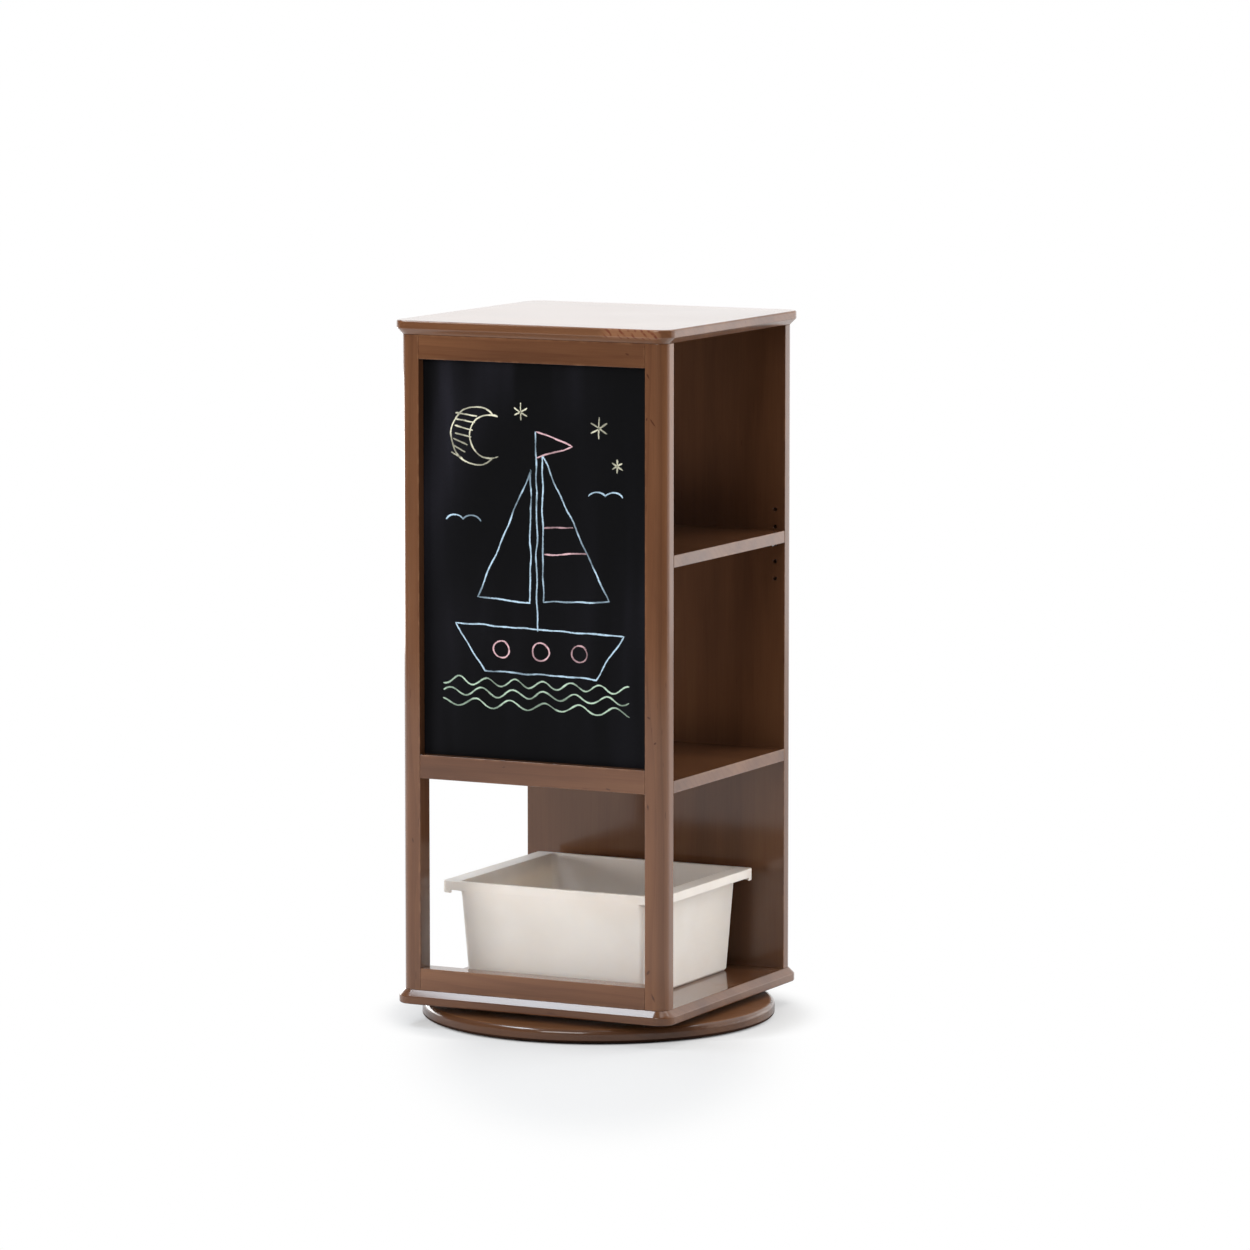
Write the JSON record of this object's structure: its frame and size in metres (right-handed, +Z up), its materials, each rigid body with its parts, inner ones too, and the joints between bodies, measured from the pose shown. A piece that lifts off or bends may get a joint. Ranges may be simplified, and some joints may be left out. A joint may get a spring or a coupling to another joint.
{
  "type": "revolving bookcase",
  "caption": "Square bookcase carcass with a chalkboard front, open shelf sides and a pull-out tub, turning on a round base disc with a ball-bearing turntable.",
  "frame": {"origin": "on the floor under the middle of the base disc", "axes": "+Z up; the chalkboard front faces -Y; the open sides face +X and -X"},
  "size_m": [0.466, 0.466, 0.926],
  "materials": {
    "lacquered_wood": "brown stained pine under satin-gloss lacquer",
    "dowel_wood": "raw beech",
    "plywood": "brown stained plywood",
    "slate_paint": "matte black chalkboard paint",
    "felt": "dark felt",
    "aluminium": "extruded",
    "steel": "bright zinc",
    "nylon": "moulded",
    "tub_plastic": "off-white, satin moulded"
  },
  "bodies": {
    "base": {"base_disc": "lacquered_wood", "floor_pads": "felt", "bearing_outer_ring": "aluminium", "outer_ring_screws": "steel"},
    "carcass": {"bearing_inner_ring": "aluminium", "inner_ring_screws": "steel", "bottom_board": "lacquered_wood", "front_left_stile": "lacquered_wood", "front_right_stile": "lacquered_wood", "front_top_rail": "lacquered_wood", "front_middle_rail": "lacquered_wood", "front_bottom_rail": "lacquered_wood", "frame_dowels": "dowel_wood", "chalkboard": "slate_paint", "chalkboard_backing": "plywood", "back_panel": "lacquered_wood", "lower_shelf": "lacquered_wood", "shelf_dowels": "dowel_wood", "upper_shelf": "lacquered_wood", "shelf_pins": "steel", "top_board": "lacquered_wood", "case_dowels": "dowel_wood", "case_screws": "steel"},
    "ball_train": {"bearing_balls": "steel", "ball_cage": "nylon"},
    "tub": {"storage_tub": "tub_plastic"}
  },
  "joints": [
    {"name": "revolve", "type": "hinge", "parent": "base", "child": "carcass", "pos_m": [0, 0, 0.02525], "axis": [0, 0, 1], "continuous": true},
    {"name": "ball_train_turn", "type": "hinge", "parent": "base", "child": "ball_train", "pos_m": [0, 0, 0.02525], "axis": [0, 0, 1], "continuous": true},
    {"name": "tub_slide", "type": "slide", "parent": "carcass", "child": "tub", "axis": [1, 0, 0], "range_m": [-0.19, 0.19]}
  ],
  "couplings": [
    {"joint": "ball_train_turn", "follows": "revolve", "ratio": 0.48929}
  ]
}
